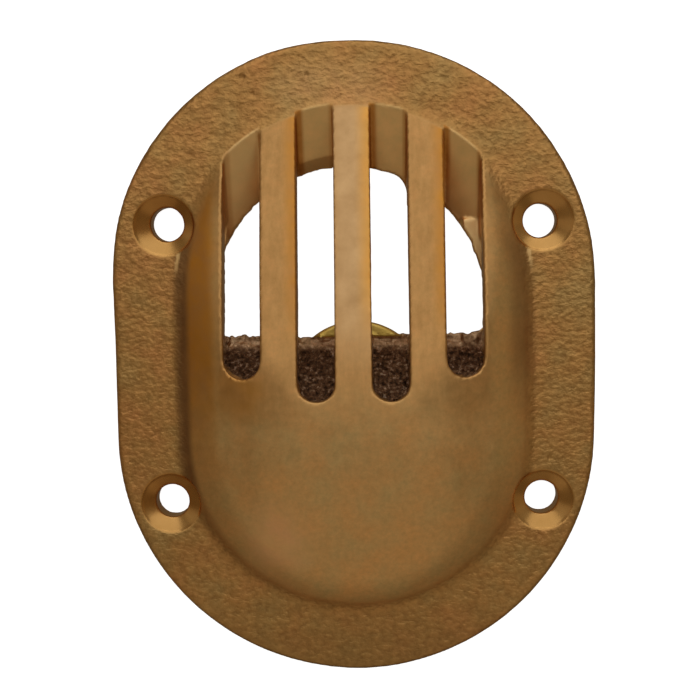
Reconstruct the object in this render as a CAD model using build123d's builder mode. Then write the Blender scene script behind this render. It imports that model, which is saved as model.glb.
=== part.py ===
from build123d import *
import os

os.makedirs("parts", exist_ok=True)

# ---- driving dimensions, mm ----
# Frame: origin at the centre of the flange's flat back face, +Z out through the hood,
# +Y towards the forward ends of the slots, X across.

# Mounting flange
flange_width = 83.4
flange_length = 109.6
flange_thickness = 5.2
flange_front_edge = 1.0
flange_back_edge = 0.4

# Screw holes
hole_spacing_x = 64.8
hole_spacing_y = 48.3
hole_shift_y = -0.3
screw_bore_r = 2.9
countersink_r = 5.2
countersink_angle = 118
head_clearance_r = 5.3

# Hood
hood_width = 60.8
hood_wall_taper = 40
hood_front_y = 44.0
hood_incline = 10.2
hood_incline_end_y = 4.4
hood_aft_y = -40.6
hood_aft_height = 3.4
shoulder_width = 73.6
shoulder_taper = 68
cheek_x = 22.8
cheek_angle = 33
wall_blank_height = 11.0
shoulder_blank_height = 10.0

# Water cavity and back opening
opening_r = 23.6
opening_centre_y = 10.2
opening_chord_y = 4.3
lip_thickness = 2.2
lip_width = 2.0
aft_wall_angle = 42
cavity_taper = 45
cavity_blank_height = 9.0
aft_wall_run = 30.0

# Slots and bars
slot_width = 6.3
slot_pitch = 12.5
outer_slot_tip_y = -2.1
inner_slot_tip_y = -5.9
grille_aft_y = 1.4
bar_underside_angle = 9.8

# Half-round tongue on the chord of the back opening
tongue_r = 12.85
tongue_tip_y = 6.9
tongue_thickness = 1.8

# ---- derived dimensions ----
end_spacing = flange_length - flange_width
hood_length = hood_width + end_spacing
cavity_r = opening_r + lip_width
cavity_front_y = opening_centre_y + cavity_r
ledge_aft_y = opening_chord_y - lip_width
slot_span = 3 * slot_pitch + slot_width
bar_width = slot_pitch - slot_width
above_hood = flange_thickness + 1.1 * wall_blank_height
reach = flange_length
hole_spots = [
    (x * hole_spacing_x / 2, hole_shift_y + y * hole_spacing_y / 2)
    for x in (-1, 1)
    for y in (-1, 1)
]
slot_tips = [
    (-1.5 * slot_pitch, outer_slot_tip_y),
    (-0.5 * slot_pitch, inner_slot_tip_y),
    (0.5 * slot_pitch, inner_slot_tip_y),
    (1.5 * slot_pitch, outer_slot_tip_y),
]


def rise(run, angle):
    """Height gained over a run at an angle in degrees."""
    slope = Vector(1, 0).rotate(Axis.Z, angle)
    return run * slope.Y / slope.X


incline_end_z = flange_thickness + rise(hood_front_y - hood_incline_end_y, hood_incline)
incline_direction = Vector(-1, 0).rotate(Axis.Z, -hood_incline)
aft_wall_top_y = ledge_aft_y - aft_wall_run
aft_wall_top_z = lip_thickness + rise(aft_wall_run, aft_wall_angle)


def underside_z(y):
    """Height of the underside shared by the bars and the hood's roof."""
    return lip_thickness + rise(cavity_front_y - y, bar_underside_angle)


# Outer form of the hood, before the cavity and the slots are taken out
with BuildPart() as envelope:
    with BuildSketch(Plane.XY.offset(flange_thickness)):
        SlotOverall(hood_length, hood_width, rotation=90)
    extrude(amount=wall_blank_height, taper=hood_wall_taper)
    with BuildSketch(Plane.XY.offset(flange_thickness)):
        SlotOverall(shoulder_width + end_spacing, shoulder_width, rotation=90)
    extrude(amount=shoulder_blank_height, taper=shoulder_taper, mode=Mode.INTERSECT)
    with BuildSketch(Plane.YZ):
        with BuildLine():
            incline = Line((hood_front_y, flange_thickness), (hood_incline_end_y, incline_end_z))
            crest = TangentArc(
                incline @ 1,
                (hood_aft_y, flange_thickness + hood_aft_height),
                tangent=incline_direction,
            )
            tail = Line(crest @ 1, (-reach / 2, flange_thickness))
            Line(tail @ 1, incline @ 0)
        make_face()
    extrude(amount=hood_width, both=True, mode=Mode.INTERSECT)
    # Cheeks: the sloping flats between the outer slots and the side walls
    with BuildSketch(Plane.XZ.offset(-hood_front_y)):
        for side in (-1, 1):
            Polygon(
                (side * cheek_x, flange_thickness),
                (side * flange_width, flange_thickness - rise(flange_width - cheek_x, cheek_angle)),
                (side * flange_width, above_hood),
                (side * cheek_x, above_hood),
                align=None,
            )
    extrude(
        amount=reach,
        dir=(0, incline_direction.X, incline_direction.Y),
        mode=Mode.SUBTRACT,
    )

# Outline of the back opening: a circle cut off by a straight chord on its aft side
with BuildSketch() as opening_outline:
    with Locations((0, opening_centre_y)):
        Circle(opening_r)
    with Locations((0, opening_chord_y)):
        Rectangle(reach, reach, align=(Align.CENTER, Align.MAX), mode=Mode.SUBTRACT)

# Form of the seat around the opening, from the lip up to the flange's front face
with BuildPart() as seat:
    with BuildSketch(Plane.XY.offset(lip_thickness)):
        with Locations((0, opening_centre_y)):
            Circle(cavity_r)
    extrude(amount=flange_thickness - lip_thickness)
    with BuildSketch(Plane.YZ):
        Polygon(
            (ledge_aft_y, lip_thickness),
            (reach, lip_thickness),
            (reach, above_hood),
            (aft_wall_top_y, above_hood),
            (aft_wall_top_y, aft_wall_top_z),
            align=None,
        )
    extrude(amount=hood_width, both=True, mode=Mode.INTERSECT)

# Form of the ramps that lead from the flange's front face down to the lip, one to a slot
with BuildPart() as ramps:
    with BuildSketch(Plane.XY.offset(lip_thickness)):
        with Locations((0, opening_centre_y)):
            Circle(cavity_r)
    with BuildSketch(Plane.XY.offset(flange_thickness)):
        with Locations((0, end_spacing / 2)):
            Circle(hood_width / 2)
    loft()
    with BuildSketch(Plane.XY):
        for x, tip_y in slot_tips:
            with Locations((x, opening_centre_y)):
                Rectangle(slot_width, reach, align=(Align.CENTER, Align.MIN))
    extrude(amount=flange_thickness, mode=Mode.INTERSECT)

# Form of the water cavity inside the hood
with BuildPart() as hood_cavity:
    with BuildSketch(Plane.XY.offset(flange_thickness)):
        with Locations((0, opening_centre_y)):
            Circle(cavity_r)
    extrude(amount=cavity_blank_height, taper=cavity_taper)
    with BuildSketch(Plane.YZ):
        with BuildLine():
            floor = Line(
                (aft_wall_top_y, aft_wall_top_z),
                (ledge_aft_y, lip_thickness),
            )
            front = Line(floor @ 1, (reach, lip_thickness))
            up = Line(front @ 1, (reach, aft_wall_top_z + lip_thickness))
            Polyline(up @ 1, (aft_wall_top_y, aft_wall_top_z + lip_thickness), floor @ 0)
        make_face()
    extrude(amount=hood_width, both=True, mode=Mode.INTERSECT)
    with BuildSketch(Plane.YZ):
        Polygon(
            (-reach, -reach),
            (reach, -reach),
            (reach, underside_z(reach)),
            (-reach, underside_z(-reach)),
            align=None,
        )
    extrude(amount=hood_width, both=True, mode=Mode.INTERSECT)

# Screw holes with their countersinks, and the room cut above them for the screw heads
with BuildPart() as screw_cutters:
    with BuildSketch():
        with Locations(*hole_spots):
            Circle(screw_bore_r)
    extrude(amount=flange_thickness)
    with Locations(*[(x, y, flange_thickness) for x, y in hole_spots]):
        Cone(
            bottom_radius=screw_bore_r,
            top_radius=countersink_r,
            height=rise(countersink_r - screw_bore_r, 90 - countersink_angle / 2),
            align=(Align.CENTER, Align.CENTER, Align.MAX),
        )

# ---- mounting flange: flat plate with the back opening, the lip, the ramps and the screw holes ----
with BuildPart() as mounting_flange:
    with BuildSketch():
        SlotOverall(flange_length, flange_width, rotation=90)
    extrude(amount=flange_thickness)
    fillet(mounting_flange.faces().sort_by(Axis.Z)[-1].edges(), flange_front_edge)
    fillet(mounting_flange.faces().sort_by(Axis.Z)[0].edges(), flange_back_edge)
    extrude(opening_outline.sketch, amount=flange_thickness, mode=Mode.SUBTRACT)
    add(seat.part, mode=Mode.SUBTRACT)
    add(ramps.part, mode=Mode.SUBTRACT)
    add(screw_cutters.part, mode=Mode.SUBTRACT)

# ---- scoop hood: the raised dome with its side walls and the rounded lower ends of the slots ----
with BuildPart() as scoop_hood:
    add(envelope.part)
    add(hood_cavity.part, mode=Mode.SUBTRACT)
    with BuildSketch(Plane.XY.offset(flange_thickness)):
        with Locations((0, grille_aft_y)):
            Rectangle(slot_span, reach, align=(Align.CENTER, Align.MIN))
    extrude(amount=above_hood, mode=Mode.SUBTRACT)
    with BuildSketch(Plane.XY.offset(flange_thickness)):
        for x, tip_y in slot_tips:
            with Locations((x, tip_y + slot_width)):
                SlotOverall(2 * slot_width, slot_width, rotation=90)
    extrude(amount=above_hood, mode=Mode.SUBTRACT)
    with BuildSketch(Plane.XY.offset(flange_thickness)):
        with Locations(*hole_spots):
            Circle(head_clearance_r)
    extrude(amount=above_hood, mode=Mode.SUBTRACT)

# ---- grille bars: three sloping bars between the slots ----
with BuildPart() as bar_stock:
    add(envelope.part)
    add(seat.part)


def grille_bar(centre_x):
    """One bar, from the flange's front face at its forward end to the hood at its aft end."""
    with BuildPart() as bar:
        add(bar_stock.part)
        with BuildSketch(Plane.YZ.offset(centre_x)):
            Polygon(
                (grille_aft_y, underside_z(grille_aft_y)),
                (grille_aft_y, above_hood),
                (reach, above_hood),
                (reach, underside_z(reach)),
                align=None,
            )
        extrude(amount=bar_width / 2, both=True, mode=Mode.INTERSECT)
    return bar.part


bars = {
    "grille_bar_left": grille_bar(-slot_pitch),
    "grille_bar_centre": grille_bar(0),
    "grille_bar_right": grille_bar(slot_pitch),
}

# ---- back tongue: thin half-round tongue standing out from the chord of the opening ----
with BuildPart() as back_tongue:
    with BuildSketch():
        with Locations((0, tongue_tip_y - tongue_r)):
            Circle(tongue_r)
        with Locations((0, opening_chord_y)):
            Rectangle(reach, reach, align=(Align.CENTER, Align.MAX), mode=Mode.SUBTRACT)
    extrude(amount=tongue_thickness)

parts = {
    "mounting_flange": mounting_flange.part,
    "scoop_hood": scoop_hood.part,
    "back_tongue": back_tongue.part,
}
parts.update(bars)
for name, part in parts.items():
    part.label = name
    export_step(part, f"parts/{name}.step")
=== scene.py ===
import math

import bpy
import numpy as np
from mathutils import Matrix, Vector


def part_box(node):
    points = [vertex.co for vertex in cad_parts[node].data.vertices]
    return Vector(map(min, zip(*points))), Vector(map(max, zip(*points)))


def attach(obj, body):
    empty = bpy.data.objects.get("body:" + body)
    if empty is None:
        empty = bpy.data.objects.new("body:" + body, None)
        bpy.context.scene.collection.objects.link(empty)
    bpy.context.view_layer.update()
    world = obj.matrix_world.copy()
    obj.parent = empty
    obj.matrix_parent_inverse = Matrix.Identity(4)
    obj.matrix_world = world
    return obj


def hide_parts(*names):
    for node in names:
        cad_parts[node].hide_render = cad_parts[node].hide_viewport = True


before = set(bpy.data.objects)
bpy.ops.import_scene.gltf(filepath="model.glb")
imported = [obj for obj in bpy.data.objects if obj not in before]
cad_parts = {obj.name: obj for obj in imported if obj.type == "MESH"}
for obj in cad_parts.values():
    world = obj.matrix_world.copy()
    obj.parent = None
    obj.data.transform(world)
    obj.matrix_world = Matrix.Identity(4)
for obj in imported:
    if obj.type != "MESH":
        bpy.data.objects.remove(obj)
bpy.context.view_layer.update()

MM = 0.001

# ---------------------------------------------------------------- the casting's dimensions, mm
flange_lo, flange_hi = (np.array(v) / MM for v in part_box("mounting_flange"))
hood_lo, hood_hi = (np.array(v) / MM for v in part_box("scoop_hood"))
bar_lo, bar_hi = (np.array(v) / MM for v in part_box("grille_bar_right"))
tongue_lo, tongue_hi = (np.array(v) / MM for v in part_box("back_tongue"))

FLANGE_R = flange_hi[0]                       # radius of the flange's round ends
END_Y = flange_hi[1] - FLANGE_R               # their centres, forward and aft
T = flange_hi[2]                              # flange thickness
HOOD_R = hood_hi[0]                           # radius of the hood's base outline
SLOT_PITCH = (bar_lo[0] + bar_hi[0]) / 2
SLOT_HALF = (SLOT_PITCH - (bar_hi[0] - bar_lo[0])) / 2
TONGUE_Z = tongue_hi[2]
CHORD_Y = tongue_lo[1]                        # straight edge of the back opening

# Flange: its edges, and how the cast outline strays from the drawn one.
FRONT_EDGE, BACK_EDGE = 1.0, 0.5              # edge radii
OUT_OF_ROUND = 0.2
BULGE, BULGE_SIDE = 0.45, (-0.57, 0.82)       # the outline stands out a little on one shoulder

# Screw holes. Each hand-drilled bore wandered from its countersink: side, end, then x and y.
HOLE_X, HOLE_Y, HOLE_SHIFT_Y = 32.4, 24.15, -0.3
BORE_WANDER = ((-1, 1, 0.43, 0.22), (1, 1, -0.35, -0.05), (-1, -1, 0.0, 0.17), (1, -1, -0.12, 0.22))
BORE_R, SINK_R, HEAD_R = 2.9, 5.2, 5.3        # bore, countersink, clearance cut for the screw head
SINK_SLOPE = math.radians(31)                 # the 118 degree point of a twist drill
SINK_STEP = 0.2                               # straight wall at the mouth of each countersink
HOLE_EDGE = 0.12

# Hood: side wall, shoulder, cheeks beside the grille, and the profile of its top.
INCLINE = math.radians(10.2)
FRONT_Y, INCLINE_END_Y = 44.0, 4.4
AFT_Y, AFT_H = -40.6, 3.4
WALL_SLOPE = math.radians(50)
SHOULDER_R, SHOULDER_SLOPE, SHOULDER_EASE = 36.8, math.radians(22), math.radians(2.5)
CHEEK_X, CHEEK_SLOPE = 22.8, math.radians(33)
SHOULDER_ROUND, CHEEK_ROUND, CREST_ROUND = 2.5, 1.2, 1.6
FOOT_FILLET, FRONT_FILLET = 0.9, 1.0          # fillet round the foot, and what it gains forward

# Back opening, its lip and the cavity behind it. The core sat a little off centre in the mould.
OPEN_R, OPEN_Y, LIP_Z, LIP_W = 23.6, 10.2, 2.2, 2.0
SEAT_R = OPEN_R + LIP_W
CORE_SHIFT_X, CORE_SHIFT_Y = -0.85, -0.2
RAGGED, CHORD_RAGGED = 0.2, 0.4               # unevenness of the opening's cast edges
CHORD_RISE = 0.8                              # the chord runs forward at its right end
AFT_WALL = math.radians(42)
UNDERSIDE = math.radians(9.8)                 # slope of the bars' undersides
CORE_ROUND, SLOT_ROUND, CUT_EDGE = 0.8, 0.25, 0.15
RAMP_RUN = 7.5

# Slots: middle in pitches from the centre plane, aft tip, steepness of the ramp's inner edge.
SLOTS = ((-1.5, -2.1, 1.0), (-0.5, -5.9, 2.2), (0.5, -5.9, 1.0), (1.5, -2.1, 1.0))
LAND_X, LAND_Y = 18.8, 24.4                   # flat land beside the opening, right of and aft of these

TONGUE_R, TONGUE_TIP_Y, TONGUE_X, TONGUE_EDGE = 12.4, 6.8, 0.4, 0.35
WEB_R, WEB_Y = 2.2, 26.5                      # small web between the lip and the root of the right bar
WEB_UNDER, WEB_H = 1.2, 1.2                   # how far it runs under the bar, and up to it

# Blow holes in the cast face: x, y, radius.
PITS = ((-18.4, 48.6, 0.55), (-16.6, 45.9, 0.4), (-7.4, 48.8, 0.35), (33.5, -17.0, 0.4))

# ---------------------------------------------------------------- where the finishes and the painted light and shade lie, mm
GRILLE_X = 2 * SLOT_PITCH - SLOT_HALF
GRILLE_FADE_Y, BARS_FADE_Y = (-2.0, 6.0), (-14.0, 3.0)
LEFT_TIP_SPOT, LEFT_TIP_FADE = (-19.5, -4.5), (2.0, 7.0)       # painted shade at the end of the left slot
HIGHLIGHT_SPOT, HIGHLIGHT_FADE = (-13.5, -30.0), (1.0, 9.0)      # painted pink highlight on the hood
FRONT_HIGHLIGHT_SPOT, FRONT_HIGHLIGHT_FADE = (-3.0, 46.5), (1.0, 7.0)      # painted highlight on the flange, forward
# painted shade: the cast face darker towards its aft end, from here
AFT_SHADE_FADE = (40.0, 54.0)
FOOT_FADE_Y = (-25.0, -19.0)                             # painted shade along the hood's foot, from here aft

PITCH = 0.3            # grid of the distance field
SLAB = 48                                     # grid planes worked out at a time
SKIN = 1.2                                    # depth near the surface that takes the texture


# ---------------------------------------------------------------- distance-field helpers
def round_max(a, b, r):
    """Both a and b, with the convex edge between them rounded to radius r."""
    return np.minimum(np.maximum(a, b), -r) + np.hypot(np.maximum(a + r, 0), np.maximum(b + r, 0))


def round_min(a, b, r):
    """Either a or b, with the concave corner between them filleted to radius r."""
    return np.maximum(np.minimum(a, b), r) - np.hypot(np.maximum(r - a, 0), np.maximum(r - b, 0))


def ease(v, lo, hi):
    """0 below lo, 1 above hi, smooth between."""
    t = np.clip((v - lo) / (hi - lo), 0, 1)
    return t * t * (3 - 2 * t)


def near(v, full, gone):
    """1 below full, 0 above gone, smooth between."""
    return 1 - ease(v, full, gone)


class Lattice:
    """Smooth 3-D value noise from a seeded random lattice, about -1 to 1."""

    def __init__(self, seed, size=64):
        self.size = size
        self.table = np.random.default_rng(seed).uniform(-1, 1, (size, size, size)).astype(np.float32)

    def __call__(self, x, y, z, scale):
        n = self.size
        out = 0
        # Each axis starts elsewhere in the lattice, so that points near zero fall well inside it.
        p = [np.asarray(c / scale + 1000.0 + 17.3 * i, np.float64) for i, c in enumerate((x, y, z))]
        base = [np.floor(c).astype(np.int64) for c in p]
        frac = [(c - b).astype(np.float32) for c, b in zip(p, base)]
        frac = [f * f * (3 - 2 * f) for f in frac]
        for dx in (0, 1):
            wx = frac[0] if dx else 1 - frac[0]
            ix = (base[0] + dx) % n
            for dy in (0, 1):
                wy = frac[1] if dy else 1 - frac[1]
                iy = (base[1] + dy) % n
                for dz in (0, 1):
                    wz = frac[2] if dz else 1 - frac[2]
                    iz = (base[2] + dz) % n
                    out = out + self.table[ix, iy, iz] * (wx * wy * wz)
        return out


NOISE_A, NOISE_B, NOISE_C = Lattice(11), Lattice(23), Lattice(37)


# ---------------------------------------------------------------- the casting's form
def stadium(x, y):
    """Distance from the line joining the centres of the flange's round ends."""
    return np.hypot(x, np.maximum(np.abs(y) - END_Y, 0))


def rim_field(x, y):
    """Distance outside the flange's outline, which is a little out of round as cast."""
    r = np.maximum(np.hypot(x, y), 1e-6)
    bulge = BULGE * ease((BULGE_SIDE[0] * x + BULGE_SIDE[1] * y) / r, 0.82, 0.98)
    flat = OUT_OF_ROUND * (1 + (x - y) / r * np.abs(2 * x * y) / (r * r))
    return stadium(x, y) - FLANGE_R + flat - bulge


def crest_arc():
    """Centre and radius of the side profile's arc, tangent to the incline."""
    py, pz = INCLINE_END_Y, (FRONT_Y - INCLINE_END_Y) * math.tan(INCLINE)
    ny, nz = -math.sin(INCLINE), -math.cos(INCLINE)
    dy, dz = AFT_Y - py, AFT_H - pz
    r = (dy * dy + dz * dz) / (2 * (dy * ny + dz * nz))
    return py + r * ny, pz + r * nz, r


ARC_Y, ARC_Z, ARC_R = crest_arc()


def hood_field(x, y, z):
    """The hood's outer form, over the whole footprint."""
    d = stadium(x, y)
    wall = (d - HOOD_R) * math.sin(WALL_SLOPE) + (z - T) * math.cos(WALL_SLOPE)
    slope = SHOULDER_SLOPE - SHOULDER_EASE * ease(-y, -4, 10)
    shoulder = (z - T) * np.cos(slope) - (SHOULDER_R - d) * np.sin(slope)
    plane = (z - T) * math.cos(INCLINE) - (FRONT_Y - y) * math.sin(INCLINE)
    arc = np.hypot(y - ARC_Y, z - T - ARC_Z) - ARC_R
    top = np.where(y > INCLINE_END_Y, plane, arc)
    tan_a, tan_b = math.tan(INCLINE), math.tan(CHEEK_SLOPE)
    cheek = z - T - (FRONT_Y - y) * tan_a + (np.abs(x) - CHEEK_X) * tan_b
    cheek = cheek / math.sqrt(1 + tan_a**2 + tan_b**2)
    sides = round_max(round_max(wall, shoulder, SHOULDER_ROUND), cheek, CHEEK_ROUND)
    return round_max(sides, top, CREST_ROUND)


def aft_wall_field(y, z):
    """Negative above the sloping aft wall of the cavity."""
    return (LIP_Z - z) * math.cos(AFT_WALL) + (CHORD_Y - LIP_W - y) * math.sin(AFT_WALL)


def underside_field(y, z):
    """Negative below the plane of the bars' undersides."""
    return (z - LIP_Z) * math.cos(UNDERSIDE) - (OPEN_Y + SEAT_R - y) * math.sin(UNDERSIDE)


def from_core(x, y):
    """Distance outside the round edge of the back opening, as the core left it."""
    return np.hypot(x - CORE_SHIFT_X, y - OPEN_Y - CORE_SHIFT_Y) - OPEN_R


def ramp_field(x, y, z, edge_slope):
    """Negative above a ramp that falls from the flange's front face to the lip and on to its edge.

    The ramp's level lines are circles that grow from the lip's, round the opening, to the hood's
    forward end. t says which one passes through a point: 0 at the lip and 1 at the hood's outline.
    """
    run_y, run_r = END_Y - OPEN_Y, HOOD_R - SEAT_R
    a = run_y**2 - run_r**2
    b = -2 * ((y - OPEN_Y) * run_y + SEAT_R * run_r)
    c = x * x + (y - OPEN_Y) ** 2 - SEAT_R**2
    t = (-b - np.sqrt(np.maximum(b * b - 4 * a * c, 0))) / (2 * a)
    slope = math.atan2(T - LIP_Z, RAMP_RUN)
    land = ease(x, LAND_X - 0.3, LAND_X + 0.3) * near(y, LAND_Y - 0.3, LAND_Y + 0.3)
    fall = np.maximum(t, 0) + edge_slope * (1 - land) * np.clip(t, -0.35, 0)
    return (LIP_Z + (T - LIP_Z) * fall - z) * math.cos(slope)


def tongue_field(x, y, z):
    """The half-round tongue that stands out from the chord of the back opening."""
    disc = np.hypot(x - TONGUE_X, y - TONGUE_TIP_Y + TONGUE_R) - TONGUE_R
    outline = np.maximum(disc, CHORD_Y - 0.4 - y)
    return round_max(outline + 0 * z, np.abs(z - TONGUE_Z / 2) - TONGUE_Z / 2, TONGUE_EDGE)


def web_field(x, y, z):
    """The small web of metal left where the right bar runs out over the lip."""
    edge = SLOT_PITCH / 2 + SLOT_HALF
    outside = from_core(x, y)
    outline = np.maximum(-round_max(outside, x - edge, WEB_R), outside - 0.3)
    outline = np.maximum(outline, np.maximum(np.abs(x - edge + 2.0) - 2.0 - WEB_UNDER, WEB_Y - y))
    under_bar = np.maximum(z - LIP_Z - WEB_H, edge - 0.1 - x)
    return np.maximum(outline, np.maximum(np.minimum(-ramp_field(x, y, z, 1.0), under_bar), -z))


def sink_distance(x, y):
    """Distance from the nearest countersink's axis."""
    return np.hypot(np.abs(x) - HOLE_X, np.abs(y - HOLE_SHIFT_Y) - HOLE_Y)


def bore_distance(x, y):
    """Distance from the nearest bore's axis."""
    out = np.inf
    for side, end, dx, dy in BORE_WANDER:
        out = np.minimum(out, np.hypot(x - side * HOLE_X - dx, y - HOLE_SHIFT_Y - end * HOLE_Y - dy))
    return out


def hole_field(x, y, z):
    """Negative in the bores, the countersinks and the clearance for the screw heads."""
    from_sink = sink_distance(x, y)
    cone = (from_sink - SINK_R) * math.sin(SINK_SLOPE) + (T - SINK_STEP - z) * math.cos(SINK_SLOPE)
    sink = np.minimum(np.maximum(cone, from_sink - SINK_R), np.maximum(from_sink - HEAD_R, T - z))
    return np.minimum(bore_distance(x, y) - BORE_R + 0 * z, sink)


def solid_field(x, y, z):
    """Flange and hood, before anything is cut out of them."""
    rim = rim_field(x, y)
    flange = round_max(rim, z - T, FRONT_EDGE)
    body = round_min(flange, hood_field(x, y, z), FOOT_FILLET + FRONT_FILLET * ease(y, 20, 40))
    # The fillet would swell the metal past the rim, so the rim cuts it back; far inside it has no say.
    body = round_max(body, np.where(rim > -3, rim, -9.0) + 0 * z, 0.01)
    return round_max(body, -z, BACK_EDGE)


def hollow_field(x, y, z):
    """Negative in the back opening, the cavity and the slots."""
    outside = from_core(x, y)
    ragged = RAGGED * NOISE_A(x, y, 0, 0.7)
    chord = CHORD_Y - y + CHORD_RAGGED * NOISE_B(x, 0, 0.4 * z, 0.6) + CHORD_RISE * ease(x, 19.5, 22.5)
    opening = np.maximum(round_max(outside + ragged, chord, 0.3), underside_field(y, z))
    seat = np.maximum(outside - LIP_W, (outside - LIP_W + z - T) * math.sqrt(0.5))
    seat = round_max(seat, np.maximum(LIP_Z - z, aft_wall_field(y, z)), CORE_ROUND)
    cavity = round_max(seat, underside_field(y, z) + 0 * x, CORE_ROUND)
    out = np.minimum(opening, cavity)
    for step, tip, edge_slope in SLOTS:
        across = x - step * SLOT_PITCH
        along = np.minimum(y - (tip + SLOT_HALF), 0)
        slot = np.hypot(across, along) - SLOT_HALF
        floor = np.maximum(ramp_field(x, y, z, edge_slope), aft_wall_field(y, z))
        out = np.minimum(out, round_max(slot, floor, SLOT_ROUND))
    return out


def casting_field(x, y, z):
    """Signed distance to the casting without its surface texture, negative inside."""
    body = round_max(solid_field(x, y, z), -hollow_field(x, y, z), CUT_EDGE)
    body = np.minimum(body, np.minimum(tongue_field(x, y, z), web_field(x, y, z)))
    return round_max(body, -hole_field(x, y, z), HOLE_EDGE)


# ---------------------------------------------------------------- finishes, and painted light and shade
def slot_across(x):
    """Signed distance in x from the middle of the slot, or slot's place, that x is in."""
    return (x / SLOT_PITCH - np.floor(x / SLOT_PITCH) - 0.5) * SLOT_PITCH


def bar_side(x):
    """0 at the middle of a bar or left of it, 1 at its right edge."""
    across = x - SLOT_PITCH * np.round(x / SLOT_PITCH)
    return ease(across, 0.2, SLOT_PITCH / 2 - SLOT_HALF)


def sink_zones(x, y):
    """The machined countersinks, with painted shade on their forward and left sides."""
    machined = near(sink_distance(x, y), HEAD_R - 0.1, HEAD_R + 0.15)
    aft_of_axis = HOLE_SHIFT_Y + np.sign(y) * HOLE_Y - y
    return dict(machined=machined, sink_shade=machined * near(aft_of_axis, 0.3, 2.8) * (0.3 + 0.5 * (x < 0)))


def hood_zones(x, y, z, depth, machined):
    """The hood as ground smooth, and the colours and painted light and shade that vary over it."""
    on_hood = near(stadium(x, y), HOOD_R - 0.2, HOOD_R + 0.4)
    on_grille = (np.abs(x) < GRILLE_X) * ease(y, *GRILLE_FADE_Y) * on_hood
    height = z - T + 0.2 * NOISE_C(x, y, z, 5.0)
    dressed = ease(height, 0.1, 1.8) * (1 - on_grille) + ease(height, -0.1, 0.35) * on_grille
    dressed = dressed * near(depth, 0.5, 1.0) * (1 - machined)

    outer = np.abs(x) > SLOT_PITCH / 2
    # orange: where the bars' right edges take a painted warm reflection
    orange = bar_side(x) * on_grille * ease(y, 1.0, 15.0)
    # painted shade on the left cheek, which faces away from the light, and at the end of the left slot
    left_cheek = ease(-x, CHEEK_X - 0.5, CHEEK_X + 2.0) * ease(y, -26.0, 4.0)
    left_tip = 0.5 * near(np.hypot(x - LEFT_TIP_SPOT[0], y - LEFT_TIP_SPOT[1]), *LEFT_TIP_FADE)
    # painted pink highlight on the lower left of the hood
    highlight_patches = np.hypot(x - HIGHLIGHT_SPOT[0], 0.8 * (y - HIGHLIGHT_SPOT[1])) + 2.0 * NOISE_C(x, y, z, 3.0)
    return dict(dressed=dressed,
                bars=dressed * ease(y, *BARS_FADE_Y) * near(np.abs(x), CHEEK_X - 1.0, CHEEK_X + 1.0),
                # painted sheen along the middle bar
                middle_bar_sheen=dressed * ease(y, -4.0, 12.0) * near(np.abs(x - 0.8), 2.0, 6.0),
                right_edge_sheen=dressed * orange * (1 - outer),
                reflection_and_shade=dressed * np.clip(orange * outer + np.maximum(left_cheek, left_tip), 0, 1),
                highlight_patches=0.6 * dressed * near(highlight_patches, *HIGHLIGHT_FADE))


def hollow_zones(x, y, z, depth, machined):
    """What shows inside: the rough aft wall and its ledge, the slots' ramps, the tongue."""
    inside = ease(depth, 0.9, 1.8)
    aft = near(y, CHORD_Y + 0.1, CHORD_Y + 0.9) * near(np.hypot(x, y - OPEN_Y), SEAT_R + 1.4, SEAT_R + 2.4)
    tongue = (tongue_field(x, y, z) < 0.3) & (z < TONGUE_Z + 0.2) & (y > CHORD_Y - 0.2)
    cavity = aft * inside * ease(z, 0.1, 0.4) * near(aft_wall_field(y, z), 0.6, 1.4) * (1 - tongue)
    # painted light: the ledge is the lit band of the cavity, given a lighter copy of its colour
    ledge = cavity * ease(y, CHORD_Y - LIP_W - 0.8, CHORD_Y - LIP_W + 0.8)

    slot_x = slot_across(x)
    on_ramp = (np.abs(slot_x) < SLOT_HALF + 0.1) * near(np.abs(ramp_field(x, y, z, 1.0)), 0.1, 0.25)
    below = near(stadium(x, y), HOOD_R - 0.1, HOOD_R + 0.15) * ease(T - z, 0.02, 0.12)
    ramp = np.maximum(below, on_ramp * ease(y, 15, 18)) * (1 - aft) * ease(z, 0.1, 0.3) * (1 - machined)
    # painted shade in the corners of the ramps beside the bars
    left_corner_shade = ease(-slot_x, SLOT_HALF - 1.5, SLOT_HALF - 0.7)
    right_corner_shade = 0.6 * ease(slot_x, SLOT_HALF - 0.9, SLOT_HALF - 0.4)

    # painted highlight on the flat land beside the opening and on the outer slots' ramps
    land = ease(x, LAND_X - 0.3, LAND_X + 0.3) * near(y, LAND_Y - 0.3, LAND_Y + 0.5) * ease(y, 13.0, 17.0)
    land = land * inside * ease(z, LIP_Z - 0.6, LIP_Z - 0.1) * near(z, LIP_Z + 0.5, LIP_Z + 1.0)
    left_ramp = 0.4 * ramp * ease(-x, 15.0, 16.0)
    right_ramp = 0.4 * ramp * ease(x, 15.0, 16.0) * ease(-y, -33.0, -27.0)
    return dict(cavity=cavity, ledge=ledge, tongue=1.0 * tongue, ramp=ramp,
                corner=ramp * np.maximum(left_corner_shade, right_corner_shade),
                land=np.maximum(land, np.maximum(left_ramp, right_ramp)))


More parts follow.
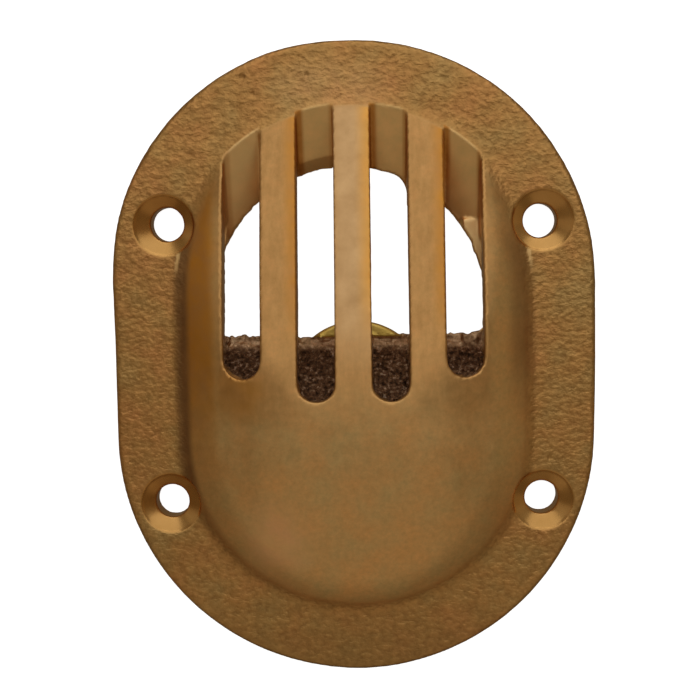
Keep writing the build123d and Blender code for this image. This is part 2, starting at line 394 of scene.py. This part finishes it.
def flange_zones(x, y, z, machined, dressed):
    """The cast face, with a painted highlight forward, painted shade aft, and painted shade along the hood's
    foot.
    """
    d = stadium(x, y)
    # painted highlight on the flange just forward of the hood
    from_patch = np.hypot(0.45 * (x - FRONT_HIGHLIGHT_SPOT[0]), y - FRONT_HIGHLIGHT_SPOT[1])
    left = near(np.abs(d - HOOD_R + 0.8), 0.4, 2.0) * ease(-x, 2.0, 20.0) * ease(-y, *FOOT_FADE_Y)
    left = left * (1 - 0.75 * ease(-y, 18.0, 32.0))
    right = near(np.abs(d - HOOD_R + 1.8), 0.5, 3.4) * ease(x, 10.0, 22.0) * ease(-y, *FOOT_FADE_Y)
    right = 0.6 * right * near(-y, -4.0, 12.0)
    return dict(front_highlight=0.28 * (1 - dressed) * near(from_patch, *FRONT_HIGHLIGHT_FADE),
                # painted shade, darker towards the aft end
                aft_shade=0.75 * ease(-y, *AFT_SHADE_FADE),
                foot_shade=np.maximum(left, right) * (1 - machined) * (z > T - 0.5))


def zones(x, y, z):
    """How far each point belongs to each finish and each patch of painted light and shade, by name."""
    depth = -hood_field(x, y, z)
    out = sink_zones(x, y)
    out.update(hood_zones(x, y, z, depth, out["machined"]))
    out.update(hollow_zones(x, y, z, depth, out["machined"]))
    out.update(flange_zones(x, y, z, out["machined"], out["dressed"]))
    out["highlight_patches"] = np.maximum(out["highlight_patches"], out.pop("front_highlight"))
    return out


def pits(x, y):
    """0 away from the few blow holes in the cast face, 1 at their middles."""
    out = 0
    for px, py, r in PITS:
        out = np.maximum(out, near(np.hypot(x - px, y - py), 0.3 * r, 1.3 * r))
    return out


def texture(x, y, z):
    """Outward bumps of the surface, mm, sized to each zone's finish."""
    zone = zones(x, y, z)
    grain = 0.65 * NOISE_A(x * 0.8, y, z, 0.8) + 0.35 * NOISE_B(x, y, z, 1.7)
    sand = (0.026 + 0.045 * ease(y, -15, 45)) * grain + 0.04 * NOISE_C(x, y, z, 6.0) - 0.3 * pits(x, y)
    smooth = 0.004 * grain + 0.03 * NOISE_C(x, y, z, 9.0)
    rough = 0.34 * NOISE_A(x, y, z, 1.5) + 0.62 * NOISE_B(x, y, z, 0.75)
    rough = rough * (1 - 0.55 * zone["ledge"])
    out = sand
    for name, finish in (("dressed", smooth), ("ramp", smooth), ("cavity", rough)):
        out = out * (1 - zone[name]) + finish * zone[name]
    return out * (1 - zone["machined"])


# ---------------------------------------------------------------- surface nets
def surface_net(field, origin, pitch):
    """Quads of the surface where field is zero, as (points, faces)."""
    inside = field < 0
    shape = np.array(field.shape) - 1
    corners = [(i, j, k) for i in (0, 1) for j in (0, 1) for k in (0, 1)]

    def corner(a, c):
        return a[c[0]:c[0] + shape[0], c[1]:c[1] + shape[1], c[2]:c[2] + shape[2]]

    # One point in each grid cell that the surface passes through, where its edges cross on average.
    count = sum(corner(inside, c).astype(np.int8) for c in corners)
    mixed = (count > 0) & (count < 8)
    cells = np.argwhere(mixed)
    index = np.full(shape, -1, np.int64)
    index[mixed] = np.arange(len(cells))
    total = np.zeros((len(cells), 3))
    hits = np.zeros(len(cells))
    for a in corners:
        for axis in range(3):
            if a[axis]:
                continue
            b = list(a)
            b[axis] = 1
            va = field[cells[:, 0] + a[0], cells[:, 1] + a[1], cells[:, 2] + a[2]]
            vb = field[cells[:, 0] + b[0], cells[:, 1] + b[1], cells[:, 2] + b[2]]
            cross = (va < 0) != (vb < 0)
            t = np.where(cross, va / np.where(cross, va - vb, 1), 0)
            point = np.array(a, float) + np.zeros((len(cells), 3))
            point[:, axis] = t
            total[cross] += point[cross]
            hits += cross
    points = (cells + total / hits[:, None]) * pitch + origin

    # One quad round each grid edge that the surface crosses.
    faces = []
    for axis in range(3):
        u, v = (axis + 1) % 3, (axis + 2) % 3
        low = [slice(1, -1)] * 3
        low[axis] = slice(0, -1)
        high = list(low)
        high[axis] = slice(1, None)
        a, b = inside[tuple(low)], inside[tuple(high)]
        where = np.argwhere(a != b)
        start = np.array([0 if i == axis else 1 for i in range(3)])
        where = where + start
        out = inside[where[:, 0], where[:, 1], where[:, 2]]
        ring = []
        for du, dv in ((-1, -1), (0, -1), (0, 0), (-1, 0)):
            c = where.copy()
            c[:, u] += du
            c[:, v] += dv
            ring.append(index[c[:, 0], c[:, 1], c[:, 2]])
        quad = np.stack(ring, 1)
        quad[~out] = quad[~out][:, ::-1]
        faces.append(quad)
    return points, np.concatenate(faces)


def largest_piece(points, faces):
    """The biggest connected part of a quad mesh, without the specks that the roughness cuts off."""
    label = np.arange(len(points))
    while True:
        lowest = label.copy()
        np.minimum.at(lowest, faces.ravel(), np.repeat(label[faces].min(1), 4))
        lowest = lowest[lowest]
        if (lowest == label).all():
            break
        label = lowest
    keep = label == np.bincount(label).argmax()
    renumbered = np.cumsum(keep) - 1
    return points[keep], renumbered[faces[keep[faces[:, 0]]]]


def casting_surface():
    """Points and quads of the textured casting, mm."""
    lo = np.array([flange_lo[0], flange_lo[1], 0.0]) - 3 * PITCH
    hi = np.array([flange_hi[0], flange_hi[1], hood_hi[2]]) + 3 * PITCH
    n = np.ceil((hi - lo) / PITCH).astype(int) + 1
    xs = (lo[0] + PITCH * np.arange(n[0]))[:, None, None]
    ys = (lo[1] + PITCH * np.arange(n[1]))[None, :, None]
    zs = (lo[2] + PITCH * np.arange(n[2]))[None, None, :]
    field = np.empty(tuple(n), np.float32)
    for start in range(0, n[0], SLAB):
        field[start:start + SLAB] = casting_field(xs[start:start + SLAB], ys, zs)
    skin = np.argwhere(np.abs(field) < SKIN)
    px, py, pz = (lo[i] + PITCH * skin[:, i] for i in range(3))
    index = (skin[:, 0], skin[:, 1], skin[:, 2])
    values = field[index] - texture(px, py, pz)
    # The cast surface never grows past the model's box: the back stays flat and the rim in size.
    values = np.maximum(values, -pz)
    values = np.maximum(values, rim_field(px, py))
    values = np.maximum(values, pz - hood_hi[2])
    field[index] = values
    return largest_piece(*surface_net(field, lo, PITCH))


def make_casting():
    points, faces = casting_surface()
    mesh = bpy.data.meshes.new("strainer_casting")
    mesh.vertices.add(len(points))
    mesh.vertices.foreach_set("co", (points * MM).astype(np.float32).ravel())
    mesh.loops.add(faces.size)
    mesh.loops.foreach_set("vertex_index", faces.astype(np.int32).ravel())
    mesh.polygons.add(len(faces))
    mesh.polygons.foreach_set("loop_start", np.arange(0, faces.size, 4, dtype=np.int32))
    mesh.polygons.foreach_set("use_smooth", np.ones(len(faces), bool))
    mesh.update(calc_edges=True)
    mesh.validate()
    for name, values in zones(*points.T).items():
        layer = mesh.attributes.new(name, "FLOAT", "POINT")
        layer.data.foreach_set("value", values.astype(np.float32))
    obj = bpy.data.objects.new("strainer_casting", mesh)
    bpy.context.scene.collection.objects.link(obj)
    return obj


# ---------------------------------------------------------------- materials
def srgb(r, g, b):
    def lin(c):
        c = c / 255
        return c / 12.92 if c <= 0.04045 else ((c + 0.055) / 1.055) ** 2.4
    return (lin(r), lin(g), lin(b), 1)


def between(a, b):
    """Stops of a colour that runs from a to b over the usual spread of a noise."""
    return ((0.3, srgb(*a)), (0.7, srgb(*b)))


# The colours of the finishes and of the painted light and shade, each laid over those above it where its
# zone says:
# zone, then scale, detail and roughness of the noise, then the colour stops that it picks from.
FINISHES = (
    # painted sheen along the middle bar
    ("middle_bar_sheen", (240, 4, 0.6), between((210, 162, 106), (232, 184, 126))),
    # painted warm reflection on the middle bar's right edge
    ("right_edge_sheen", (300, 3, 0.6), between((238, 174, 88), (250, 176, 80))),
    # painted highlights: pink on the hood, paler on the flange forward
    ("highlight_patches", (300, 3, 0.6), between((242, 186, 118), (252, 186, 128))),
    # painted warm reflection on the outer bars' right edges, and painted shade on the left cheek and at the
    # end of the left slot
    ("reflection_and_shade", (260, 3, 0.6), between((212, 146, 74), (224, 150, 54))),
    # painted shade in the crease along the hood's foot
    ("foot_shade", (300, 3, 0.6), between((150, 108, 64), (174, 126, 74))),
    ("ramp", (260, 4, 0.6), between((226, 184, 116), (250, 196, 124))),
    # painted shade in the corners of the ramps beside the bars
    ("corner", (400, 3, 0.6), between((186, 118, 44), (206, 138, 66))),
    ("tongue", (300, 2, 0.5), between((240, 200, 96), (250, 210, 110))),
    ("cavity", (1300, 4, 0.65),
     ((0.36, srgb(70, 48, 32)), (0.55, srgb(150, 108, 74)), (0.68, srgb(240, 205, 170)))),
    # painted light on the cavity's lit ledge
    ("ledge", (1300, 4, 0.65), between((164, 118, 80), (255, 214, 164))),
    # painted highlight on the flat land and the outer slots' ramps
    ("land", (500, 3, 0.6), between((252, 202, 136), (255, 212, 144))),
    ("machined", (300, 2, 0.5), between((206, 152, 82), (222, 166, 94))),
    # painted shade on the countersinks' forward and left sides
    ("sink_shade", (300, 2, 0.5), between((176, 112, 48), (192, 130, 60))),
)


def new_material(name):
    mat = bpy.data.materials.new(name)
    mat.use_nodes = True
    return mat, mat.node_tree.nodes, mat.node_tree.links, mat.node_tree.nodes["Principled BSDF"]


def bronze_material():
    mat, nodes, links, bsdf = new_material("bronze")
    coords = nodes.new("ShaderNodeTexCoord").outputs["Object"]

    def feed(socket, value):
        """Link value to the socket if it is an output, or else set it there."""
        if isinstance(value, bpy.types.NodeSocket):
            links.new(value, socket)
        else:
            socket.default_value = value

    def attribute(name):
        a = nodes.new("ShaderNodeAttribute")
        a.attribute_name = name
        return a.outputs["Fac"]

    def stretched(x, y, z):
        m = nodes.new("ShaderNodeMapping")
        m.inputs["Scale"].default_value = (x, y, z)
        links.new(coords, m.inputs["Vector"])
        return m.outputs["Vector"]

    def noise(scale, detail=3.0, rough=0.5, vector=coords):
        n = nodes.new("ShaderNodeTexNoise")
        n.inputs["Scale"].default_value = scale
        n.inputs["Detail"].default_value = detail
        n.inputs["Roughness"].default_value = rough
        links.new(vector, n.inputs["Vector"])
        return n.outputs["Fac"]

    def ramp(fac, stops):
        r = nodes.new("ShaderNodeValToRGB")
        links.new(fac, r.inputs["Fac"])
        while len(r.color_ramp.elements) < len(stops):
            r.color_ramp.elements.new(0.5)
        for e, (pos, col) in zip(r.color_ramp.elements, stops):
            e.position = pos
            e.color = col
        return r.outputs["Color"]

    def mix(fac, a, b, blend="MIX"):
        m = nodes.new("ShaderNodeMix")
        m.data_type = "RGBA"
        m.blend_type = blend
        feed(m.inputs[0], fac)
        feed(m.inputs[6], a)
        feed(m.inputs[7], b)
        return m.outputs[2]

    def multiply(a, b):
        return mix(1.0, a, b, "MULTIPLY")

    def calculate(operation, a, b):
        m = nodes.new("ShaderNodeMath")
        m.operation = operation
        feed(m.inputs[0], a)
        feed(m.inputs[1], b)
        return m.outputs[0]

    def bump(height, strength, distance, normal=None):
        b = nodes.new("ShaderNodeBump")
        b.inputs["Distance"].default_value = distance
        feed(b.inputs["Strength"], strength)
        links.new(height, b.inputs["Height"])
        if normal is not None:
            links.new(normal, b.inputs["Normal"])
        return b.outputs["Normal"]

    # Sand-cast face: a broad patina, mottled, with painted shade in the grains' hollows and painted
    # highlights on their tops.
    patina = ramp(noise(110, 3, 0.6), ((0.3, srgb(190, 148, 86)), (0.5, srgb(196, 144, 80)),
                                       (0.7, srgb(204, 142, 80))))
    # painted shade: the patina darker towards the aft end
    patina = mix(attribute("aft_shade"), patina, srgb(174, 130, 72))
    mottle = ramp(noise(380, 3, 0.6), ((0.3, (0.91, 0.90, 0.88, 1)), (0.7, (1.09, 1.09, 1.09, 1))))
    sand_grain = noise(1300, 2.4, 0.55, stretched(0.8, 1, 1))
    grain_shade = ramp(sand_grain, ((0.3, (0.82, 0.79, 0.76, 1)), (0.5, (1, 1, 1, 1)),
                                (0.72, (1.18, 1.19, 1.22, 1))))
    sand = multiply(multiply(patina, mottle), grain_shade)

    # The ground hood, and the grille with grinding streaks along its bars.
    dressed = attribute("dressed")
    smooth = ramp(noise(170, 4, 0.6), ((0.3, srgb(220, 178, 112)), (0.5, srgb(228, 176, 108)),
                                       (0.7, srgb(236, 175, 104))))
    speckle = ramp(noise(1100, 4, 0.7), ((0.3, (0.90, 0.90, 0.89, 1)), (0.7, (1.10, 1.10, 1.11, 1))))
    colour = mix(dressed, sand, multiply(smooth, speckle))
    grille = ramp(noise(420, 5, 0.7), ((0.3, srgb(192, 142, 82)), (0.5, srgb(208, 155, 92)),
                                       (0.7, srgb(224, 166, 100))))
    streaks = ramp(noise(1000, 3, 0.6, stretched(1, 0.2, 1)),
                   ((0.3, (0.90, 0.87, 0.82, 1)), (0.7, (1.08, 1.08, 1.08, 1))))
    colour = mix(attribute("bars"), colour, multiply(grille, streaks))
    for zone, grain, stops in FINISHES:
        colour = mix(attribute(zone), colour, ramp(noise(*grain), stops))
    links.new(colour, bsdf.inputs["Base Color"])

    machined, cavity = attribute("machined"), attribute("cavity")
    gloss = ramp(noise(420, 3, 0.6), ((0.3, (0.34, 0.34, 0.34, 1)), (0.7, (0.46, 0.46, 0.46, 1))))
    links.new(mix(machined, gloss, (0.26, 0.26, 0.26, 1)), bsdf.inputs["Roughness"])
    bsdf.inputs["Metallic"].default_value = 0.85

    # Relief too fine for the mesh: sand grain, crumbs in the cavity, grinding marks across the hood.
    finished = calculate("MAXIMUM", calculate("MAXIMUM", dressed, attribute("ramp")),
                         calculate("MAXIMUM", machined, cavity))
    as_cast = calculate("MULTIPLY", calculate("SUBTRACT", 1.0, finished), 0.9)
    crumbs = calculate("SUBTRACT", cavity, calculate("MULTIPLY", attribute("ledge"), 0.6))
    normal = bump(sand_grain, as_cast, 0.00022)
    normal = bump(noise(1900, 4, 0.7), crumbs, 0.0005, normal)
    normal = bump(noise(2200, 2, 0.5, stretched(0.06, 1, 0.3)), calculate("MULTIPLY", dressed, 0.06), 0.0001,
                  normal)
    links.new(normal, bsdf.inputs["Normal"])
    return mat


casting = make_casting()
casting.data.materials.append(bronze_material())
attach(casting, "root")
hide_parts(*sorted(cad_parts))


# ---------------------------------------------------------------- floor, light, camera; metres
FLOOR_HALF, FLOOR_DROP = 20.0, 0.00003        # the floor lies just under the back face

COOL, NEUTRAL = (0.86, 0.92, 1.0), (0.95, 0.96, 1.0)
LIGHTS = (                                    # name, place, size, power, colour; all aimed at the origin
    ("key", (0.08, 0.514, 0.613), (1.2, 1.34), 3.7, COOL),
    ("low_key", (0, 0.8, 0.14), (1.2, 0.45), 0.75, COOL),
    ("aft_fill", (-0.02, -0.56, 0.56), (1.2, 0.8), 0.55, (1.0, 0.95, 0.9)),
    ("left_fill", (-0.75, 0.2, 0.48), (0.4, 0.9), 0.21, NEUTRAL),
    ("right_fill", (0.78, 0.2, 0.44), (0.35, 0.9), 0.05, NEUTRAL),
    ("side_fill", (0.8, -0.1, 0.3), (0.5, 0.5), 0.08, (1.0, 0.85, 0.6)),
)

CAMERA_TURN = (5.23, -1.49, 0.72)             # tilt, yaw and roll off straight down, degrees
CAMERA_SHIFT_MM = (0.763, -2.07, -206.8)      # middle of the flange's front face, seen from the camera
SENSOR_MM, FOCAL = 36, 12 / 7                 # focal length in sensor widths


def make_floor():
    mesh = bpy.data.meshes.new("floor")
    signs = ((-1, -1), (1, -1), (1, 1), (-1, 1))
    corners = [(sx * FLOOR_HALF, sy * FLOOR_HALF, -FLOOR_DROP) for sx, sy in signs]
    mesh.from_pydata(corners, [], [(0, 1, 2, 3)])
    obj = bpy.data.objects.new("floor", mesh)
    bpy.context.scene.collection.objects.link(obj)
    mat, _, _, bsdf = new_material("pale_floor")
    bsdf.inputs["Base Color"].default_value = (0.8, 0.8, 0.8, 1)
    bsdf.inputs["Roughness"].default_value = 0.8
    bsdf.inputs["Emission Color"].default_value = (1, 1, 1, 1)
    bsdf.inputs["Emission Strength"].default_value = 0.95
    mesh.materials.append(mat)
    # The floor shows as paper white without lighting the casting from below.
    obj.visible_diffuse = False
    obj.visible_glossy = False


def area_light(name, place, size, power, colour):
    data = bpy.data.lights.new(name, "AREA")
    data.shape = "RECTANGLE"
    data.size, data.size_y = size
    data.energy = power
    data.color = colour
    obj = bpy.data.objects.new(name, data)
    obj.location = place
    obj.rotation_euler = (-Vector(place)).to_track_quat("-Z", "Y").to_euler()
    bpy.context.scene.collection.objects.link(obj)


def make_camera():
    tilt, yaw, roll = (math.radians(a) for a in CAMERA_TURN)
    turn = Matrix.Rotation(roll, 3, "Z") @ Matrix.Rotation(yaw, 3, "Y") @ Matrix.Rotation(tilt, 3, "X")
    back = turn.transposed()
    place = (-(back @ Vector(CAMERA_SHIFT_MM)) + Vector((0, 0, T))) * MM
    data = bpy.data.cameras.new("camera")
    data.sensor_width = SENSOR_MM
    data.lens = SENSOR_MM * FOCAL
    data.clip_start = 0.01
    obj = bpy.data.objects.new("camera", data)
    obj.matrix_world = Matrix.Translation(place) @ back.to_4x4()
    bpy.context.scene.collection.objects.link(obj)
    bpy.context.scene.camera = obj


make_floor()
for light in LIGHTS:
    area_light(*light)
make_camera()

world = bpy.data.worlds.new("studio")
world.use_nodes = True
world.node_tree.nodes["Background"].inputs["Color"].default_value = (1.0, 0.84, 0.58, 1)
world.node_tree.nodes["Background"].inputs["Strength"].default_value = 0.14
bpy.context.scene.world = world
bpy.context.scene.view_settings.view_transform = "Standard"
